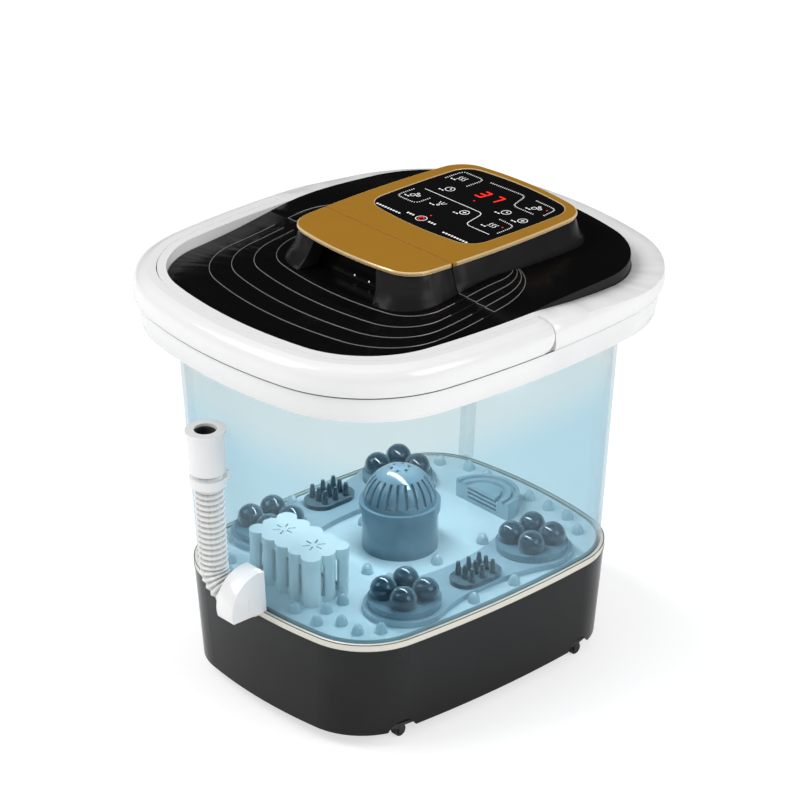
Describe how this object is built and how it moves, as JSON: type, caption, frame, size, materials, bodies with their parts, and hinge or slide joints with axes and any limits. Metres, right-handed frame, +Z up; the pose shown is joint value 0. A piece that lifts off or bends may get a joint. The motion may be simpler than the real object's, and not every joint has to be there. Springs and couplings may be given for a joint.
{
  "type": "foot spa basin",
  "caption": "Deep heated foot spa with clear tub, driven massage discs, central water dome, drain hose, U-shaped carry handle, lift-off front lid and rear console on small casters.",
  "frame": {"origin": "on the floor under the wheels, at the centre of the rim's plan", "axes": "+Z up, -Y is the front, where the user sits and the drain hose hangs, +X is to the right seen from the front with +Y behind"},
  "size_m": [0.36, 0.416, 0.3966],
  "materials": {
    "base_gloss": "deep gloss black",
    "base_matte": "black, fine texture",
    "cream_trim": "satin cream",
    "clear_tub": "clear, polished",
    "blue_floor": "translucent steel blue, polished",
    "deep_blue": "translucent navy, polished",
    "pale_blue": "translucent pale blue",
    "white_gloss": "gloss white",
    "hose_white": "soft white plastic, satin",
    "lid_gloss": "piano black",
    "grip_black": "dark smoked",
    "gold_satin": "gold anodised, fine satin with polished edge",
    "panel_black": "touch panel, high gloss",
    "steel": "plain",
    "motor_case": "zinc grey",
    "seal_rubber": "matt",
    "board_green": "solder mask",
    "caster_black": "moulded nylon"
  },
  "bodies": {
    "basin": {"base_shell": "base_gloss", "base_plate": "base_matte", "base_screws": "steel", "trim_band": "cream_trim", "tub_shell": "clear_tub", "footbed": "blue_floor", "foot_zones": "blue_floor", "floor_nubs": "blue_floor", "shaft_seals": "seal_rubber", "acupressure_pad_left": "deep_blue", "acupressure_pad_right": "deep_blue", "dome_housing": "blue_floor", "dome_grille": "blue_floor", "jet_cover": "blue_floor", "herb_box": "pale_blue", "rim_ring": "white_gloss", "rim_screws": "steel", "console_body": "lid_gloss", "console_base": "base_matte", "console_bezel": "gold_satin", "touch_panel": "panel_black", "control_board": "board_green", "drain_collar": "white_gloss", "drain_hose": "hose_white", "hose_end_fitting": "white_gloss", "hose_clip": "white_gloss", "wiring_duct": "white_gloss", "circulation_pump": "base_matte", "heater": "steel", "thermostat": "base_matte", "water_pipe": "seal_rubber", "air_pump": "base_matte", "power_board": "board_green", "power_inlet": "base_matte", "massage_motor_front_left": "motor_case", "massage_motor_front_right": "motor_case", "massage_motor_rear_left": "motor_case", "massage_motor_rear_right": "motor_case"},
    "lid": {"front_lid": "lid_gloss", "lid_bezel": "gold_satin", "lid_grip": "grip_black"},
    "handle": {"carry_handle": "white_gloss", "handle_pins": "steel"},
    "herb_cover": {"herb_box_cover": "pale_blue"},
    "disc_front_left": {"massage_disc_front_left": "blue_floor", "massage_balls_front_left": "deep_blue"},
    "disc_front_right": {"massage_disc_front_right": "blue_floor", "massage_balls_front_right": "deep_blue"},
    "disc_rear_left": {"massage_disc_rear_left": "blue_floor", "massage_balls_rear_left": "deep_blue"},
    "disc_rear_right": {"massage_disc_rear_right": "blue_floor", "massage_balls_rear_right": "deep_blue"},
    "caster_front_left": {"caster_fork_front_left": "caster_black"},
    "wheel_front_left": {"caster_wheel_front_left": "caster_black"},
    "caster_front_right": {"caster_fork_front_right": "caster_black"},
    "wheel_front_right": {"caster_wheel_front_right": "caster_black"},
    "caster_rear_left": {"caster_fork_rear_left": "caster_black"},
    "wheel_rear_left": {"caster_wheel_rear_left": "caster_black"},
    "caster_rear_right": {"caster_fork_rear_right": "caster_black"},
    "wheel_rear_right": {"caster_wheel_rear_right": "caster_black"}
  },
  "joints": [
    {"name": "handle_hinge", "type": "hinge", "parent": "basin", "child": "handle", "pos_m": [0, -0.008, 0.365], "axis": [-1, 0, 0], "range_deg": [0, 100]},
    {"name": "lid_lift", "type": "slide", "parent": "basin", "child": "lid", "axis": [0, 0, 1], "range_m": [0, 0.16]},
    {"name": "herb_cover_lift", "type": "slide", "parent": "basin", "child": "herb_cover", "axis": [0, 0, 1], "range_m": [0, 0.1]},
    {"name": "disc_spin_front_left", "type": "hinge", "parent": "basin", "child": "disc_front_left", "pos_m": [-0.086, -0.072, 0.112], "axis": [0, 0, 1], "continuous": true},
    {"name": "disc_spin_front_right", "type": "hinge", "parent": "basin", "child": "disc_front_right", "pos_m": [0.086, -0.072, 0.112], "axis": [0, 0, 1], "continuous": true},
    {"name": "disc_spin_rear_left", "type": "hinge", "parent": "basin", "child": "disc_rear_left", "pos_m": [-0.086, 0.074, 0.112], "axis": [0, 0, 1], "continuous": true},
    {"name": "disc_spin_rear_right", "type": "hinge", "parent": "basin", "child": "disc_rear_right", "pos_m": [0.086, 0.074, 0.112], "axis": [0, 0, 1], "continuous": true},
    {"name": "caster_swivel_front_left", "type": "hinge", "parent": "basin", "child": "caster_front_left", "pos_m": [-0.1065, -0.102, 0.02], "axis": [0, 0, 1], "continuous": true},
    {"name": "wheel_spin_front_left", "type": "hinge", "parent": "caster_front_left", "child": "wheel_front_left", "pos_m": [-0.1065, -0.0975, 0.0056], "axis": [1, 0, 0], "continuous": true},
    {"name": "caster_swivel_front_right", "type": "hinge", "parent": "basin", "child": "caster_front_right", "pos_m": [0.1065, -0.102, 0.02], "axis": [0, 0, 1], "continuous": true},
    {"name": "wheel_spin_front_right", "type": "hinge", "parent": "caster_front_right", "child": "wheel_front_right", "pos_m": [0.1065, -0.0975, 0.0056], "axis": [1, 0, 0], "continuous": true},
    {"name": "caster_swivel_rear_left", "type": "hinge", "parent": "basin", "child": "caster_rear_left", "pos_m": [-0.1065, 0.102, 0.02], "axis": [0, 0, 1], "continuous": true},
    {"name": "wheel_spin_rear_left", "type": "hinge", "parent": "caster_rear_left", "child": "wheel_rear_left", "pos_m": [-0.1065, 0.1065, 0.0056], "axis": [1, 0, 0], "continuous": true},
    {"name": "caster_swivel_rear_right", "type": "hinge", "parent": "basin", "child": "caster_rear_right", "pos_m": [0.1065, 0.102, 0.02], "axis": [0, 0, 1], "continuous": true},
    {"name": "wheel_spin_rear_right", "type": "hinge", "parent": "caster_rear_right", "child": "wheel_rear_right", "pos_m": [0.1065, 0.1065, 0.0056], "axis": [1, 0, 0], "continuous": true}
  ]
}
